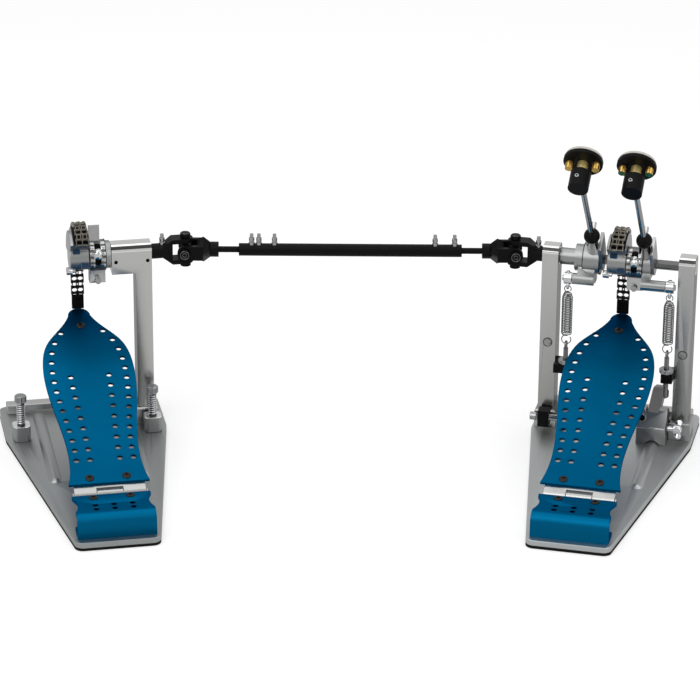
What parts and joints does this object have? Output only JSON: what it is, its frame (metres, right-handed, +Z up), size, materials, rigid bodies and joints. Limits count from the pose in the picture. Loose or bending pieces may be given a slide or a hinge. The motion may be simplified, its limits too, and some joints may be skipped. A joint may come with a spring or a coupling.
{
  "type": "double bass drum pedal",
  "caption": "Twin-footboard chain-drive pedal set joined by a telescopic shaft, with coil-sprung beaters, ribbed bases, a hoop clamp and floor spurs.",
  "frame": {"origin": "on the floor under the middle of the whole pair's box", "axes": "+X to the player's right along the shaft, +Y away from the player towards the drum, +Z up"},
  "size_m": [0.7641, 0.3646, 0.3571],
  "materials": {
    "base_grey": "satin",
    "mat_black": "matte",
    "board_blue": "anodised satin",
    "post_metal": "brushed",
    "bearing_steel": "ground",
    "hinge_steel": "satin",
    "axle_chrome": "polished",
    "spring_steel": "bright",
    "chain_steel": "bright",
    "casting_grey": "satin",
    "joint_black": "satin",
    "socket_black": "satin",
    "felt_grey": "soft"
  },
  "bodies": {
    "main_frame": {"main_base_plate": "base_grey", "main_base_mat": "mat_black", "main_bridge": "base_grey", "main_post_left": "post_metal", "main_post_right": "post_metal", "main_post_bearings": "bearing_steel", "main_heel_plate": "board_blue", "main_heel_hinge": "hinge_steel", "spring_brackets": "joint_black", "spring_eyebolts": "axle_chrome", "key_clip": "socket_black", "clamp_body": "casting_grey"},
    "main_footboard": {"main_footboard": "board_blue", "main_footboard_hinge": "hinge_steel"},
    "main_drive": {"main_axle": "axle_chrome", "main_sprocket": "casting_grey", "main_chain": "chain_steel", "main_hub": "casting_grey", "main_beater_socket": "socket_black"},
    "main_chain_drop": {"main_chain_drop": "chain_steel"},
    "main_beater": {"main_beater_shaft": "axle_chrome", "main_beater_head": "socket_black", "main_beater_felt": "felt_grey"},
    "main_spring_swivel": {"main_spring_swivel": "axle_chrome"},
    "main_spring": {"main_spring": "spring_steel"},
    "main_spring_knob": {"main_spring_knob": "axle_chrome"},
    "clamp_jaw": {"clamp_jaw": "casting_grey", "clamp_pad": "mat_black"},
    "clamp_wing_screw": {"clamp_wing_screw": "axle_chrome"},
    "drum_key": {"drum_key": "axle_chrome"},
    "slave_turn": {"slave_hub": "casting_grey", "slave_beater_socket": "socket_black", "hub_yoke": "joint_black"},
    "slave_beater": {"slave_beater_shaft": "axle_chrome", "slave_beater_head": "socket_black", "slave_beater_felt": "felt_grey"},
    "slave_spring_swivel": {"slave_spring_swivel": "axle_chrome"},
    "slave_spring": {"slave_spring": "spring_steel"},
    "slave_spring_knob": {"slave_spring_knob": "axle_chrome"},
    "shaft": {"shaft_tube": "joint_black"},
    "shaft_left_yoke": {"shaft_left_yoke": "joint_black"},
    "cross_right": {"cross_right": "joint_black"},
    "cross_left": {"cross_left": "joint_black"},
    "slave_frame": {"slave_base_plate": "base_grey", "slave_base_mat": "mat_black", "slave_bridge": "base_grey", "slave_post": "post_metal", "slave_post_bearing": "bearing_steel", "slave_heel_plate": "board_blue", "slave_heel_hinge": "hinge_steel"},
    "spur_left": {"spur_left": "axle_chrome"},
    "spur_right": {"spur_right": "axle_chrome"},
    "slave_footboard": {"slave_footboard": "board_blue", "slave_footboard_hinge": "hinge_steel"},
    "slave_drive": {"slave_axle": "axle_chrome", "slave_yoke": "joint_black", "slave_sprocket": "casting_grey", "slave_chain": "chain_steel", "slave_drive_hub": "casting_grey"},
    "slave_chain_drop": {"slave_chain_drop": "chain_steel"}
  },
  "joints": [
    {"name": "main_beater_swing", "type": "hinge", "parent": "main_frame", "child": "main_drive", "pos_m": [0.28619, 0.10697, 0.2045], "axis": [-0.9744, 0.225, 0], "range_deg": [0, 50], "stiffness_Nm_per_rad": 0.5, "springref_deg": -34.38},
    {"name": "slave_beater_swing", "type": "hinge", "parent": "main_frame", "child": "slave_turn", "pos_m": [0.28619, 0.10697, 0.2045], "axis": [-0.9744, 0.225, 0], "range_deg": [0, 50], "stiffness_Nm_per_rad": 0.5, "springref_deg": -34.38},
    {"name": "main_footboard_hinge", "type": "hinge", "parent": "main_frame", "child": "main_footboard", "pos_m": [0.23602, -0.11031, 0.0305], "axis": [-0.9744, 0.225, 0], "range_deg": [0, 6.59]},
    {"name": "main_chain_feed", "type": "hinge", "parent": "main_drive", "child": "main_chain_drop", "pos_m": [0.2935, 0.13863, 0.21965], "axis": [-0.9744, 0.225, 0], "range_deg": [-57.1, 0], "deforming": ["main_chain_drop", "main_chain"]},
    {"name": "slave_footboard_hinge", "type": "hinge", "parent": "slave_frame", "child": "slave_footboard", "pos_m": [-0.24468, -0.10807, 0.0305], "axis": [-0.9816, -0.1908, 0], "range_deg": [0, 6.57]},
    {"name": "slave_chain_feed", "type": "hinge", "parent": "slave_drive", "child": "slave_chain_drop", "pos_m": [-0.29343, 0.14273, 0.21965], "axis": [-0.9816, -0.1908, 0], "range_deg": [-56.86, 0], "deforming": ["slave_chain_drop", "slave_chain"]},
    {"name": "main_spring_pivot", "type": "hinge", "parent": "main_drive", "child": "main_spring_swivel", "pos_m": [0.33775, 0.07693, 0.18682], "axis": [-0.9744, 0.225, 0], "range_deg": [-55.4, 0]},
    {"name": "main_spring_stretch", "type": "slide", "parent": "main_spring_swivel", "child": "main_spring", "axis": [0, 0, -1], "range_m": [0, 0.02053], "deforming": ["main_spring"]},
    {"name": "main_spring_knob_turn", "type": "hinge", "parent": "main_frame", "child": "main_spring_knob", "pos_m": [0.33775, 0.07693, 0.08802], "axis": [0, 0, 1], "continuous": true},
    {"name": "slave_spring_pivot", "type": "hinge", "parent": "slave_turn", "child": "slave_spring_swivel", "pos_m": [0.23154, 0.10145, 0.18682], "axis": [-0.9744, 0.225, 0], "range_deg": [-55.4, 0]},
    {"name": "slave_spring_stretch", "type": "slide", "parent": "slave_spring_swivel", "child": "slave_spring", "axis": [0, 0, -1], "range_m": [0, 0.02053], "deforming": ["slave_spring"]},
    {"name": "slave_spring_knob_turn", "type": "hinge", "parent": "main_frame", "child": "slave_spring_knob", "pos_m": [0.23154, 0.10145, 0.08802], "axis": [0, 0, 1], "continuous": true},
    {"name": "main_beater_height", "type": "slide", "parent": "main_drive", "child": "main_beater", "axis": [-0.1733, -0.5182, 0.8375], "range_m": [-0.012, 0.012]},
    {"name": "slave_beater_height", "type": "slide", "parent": "slave_turn", "child": "slave_beater", "axis": [-0.1733, -0.5182, 0.8375], "range_m": [-0.012, 0.012]},
    {"name": "shaft_spin", "type": "hinge", "parent": "main_frame", "child": "shaft", "pos_m": [0.17608, 0.13239, 0.2045], "axis": [-1, 0, 0], "range_deg": [0, 50.25]},
    {"name": "right_cross_tilt", "type": "hinge", "parent": "shaft", "child": "cross_right", "pos_m": [0.17608, 0.13239, 0.2045], "axis": [0, 1, 0], "range_deg": [0, 10.12]},
    {"name": "shaft_length", "type": "slide", "parent": "main_frame", "child": "slave_frame", "axis": [1, 0, 0], "range_m": [-0.04, 0.015]},
    {"name": "shaft_telescope", "type": "slide", "parent": "shaft", "child": "shaft_left_yoke", "axis": [1, 0, 0], "range_m": [-0.04, 0.015]},
    {"name": "left_cross_tilt", "type": "hinge", "parent": "shaft_left_yoke", "child": "cross_left", "pos_m": [-0.1763, 0.13239, 0.2045], "axis": [0, 1, 0], "range_deg": [-8.55, 0]},
    {"name": "slave_axle_turn", "type": "hinge", "parent": "slave_frame", "child": "slave_drive", "pos_m": [-0.28723, 0.11083, 0.2045], "axis": [-0.9816, -0.1908, 0], "range_deg": [0, 50.79]},
    {"name": "clamp_jaw_pivot", "type": "hinge", "parent": "main_frame", "child": "clamp_jaw", "pos_m": [0.32621, 0.08029, 0.033], "axis": [-0.9744, 0.225, 0], "range_deg": [0, 8]},
    {"name": "clamp_screw_turn", "type": "hinge", "parent": "main_frame", "child": "clamp_wing_screw", "pos_m": [0.33977, 0.06792, 0.027], "axis": [-0.9744, 0.225, 0], "range_deg": [0, 490]},
    {"name": "spur_left_height", "type": "slide", "parent": "slave_frame", "child": "spur_left", "axis": [0, 0, 1], "range_m": [0, 0.01]},
    {"name": "spur_right_height", "type": "slide", "parent": "slave_frame", "child": "spur_right", "axis": [0, 0, 1], "range_m": [0, 0.01]},
    {"name": "drum_key_pull", "type": "slide", "parent": "main_frame", "child": "drum_key", "axis": [-0.9744, 0.225, 0], "range_m": [0, 0.03]}
  ],
  "couplings": [
    {"joint": "main_footboard_hinge", "follows": "main_beater_swing", "ratio": 0.1293},
    {"joint": "main_chain_feed", "follows": "main_beater_swing", "ratio": -1.1196},
    {"joint": "slave_footboard_hinge", "follows": "slave_beater_swing", "ratio": 0.12876},
    {"joint": "slave_chain_feed", "follows": "slave_beater_swing", "ratio": -1.1149},
    {"joint": "main_spring_pivot", "follows": "main_beater_swing", "ratio": -1.0863},
    {"joint": "main_spring_stretch", "follows": "main_beater_swing", "m_per_rad": 0.023066},
    {"joint": "slave_spring_pivot", "follows": "slave_beater_swing", "ratio": -1.0863},
    {"joint": "slave_spring_stretch", "follows": "slave_beater_swing", "m_per_rad": 0.023066},
    {"joint": "shaft_spin", "follows": "slave_beater_swing", "ratio": 0.98532},
    {"joint": "right_cross_tilt", "follows": "slave_beater_swing", "ratio": 0.19846},
    {"joint": "shaft_telescope", "follows": "shaft_length", "ratio": 1},
    {"joint": "left_cross_tilt", "follows": "slave_beater_swing", "ratio": -0.16758},
    {"joint": "slave_axle_turn", "follows": "slave_beater_swing", "ratio": 0.99581},
    {"joint": "clamp_screw_turn", "follows": "clamp_jaw_pivot", "ratio": 60}
  ]
}
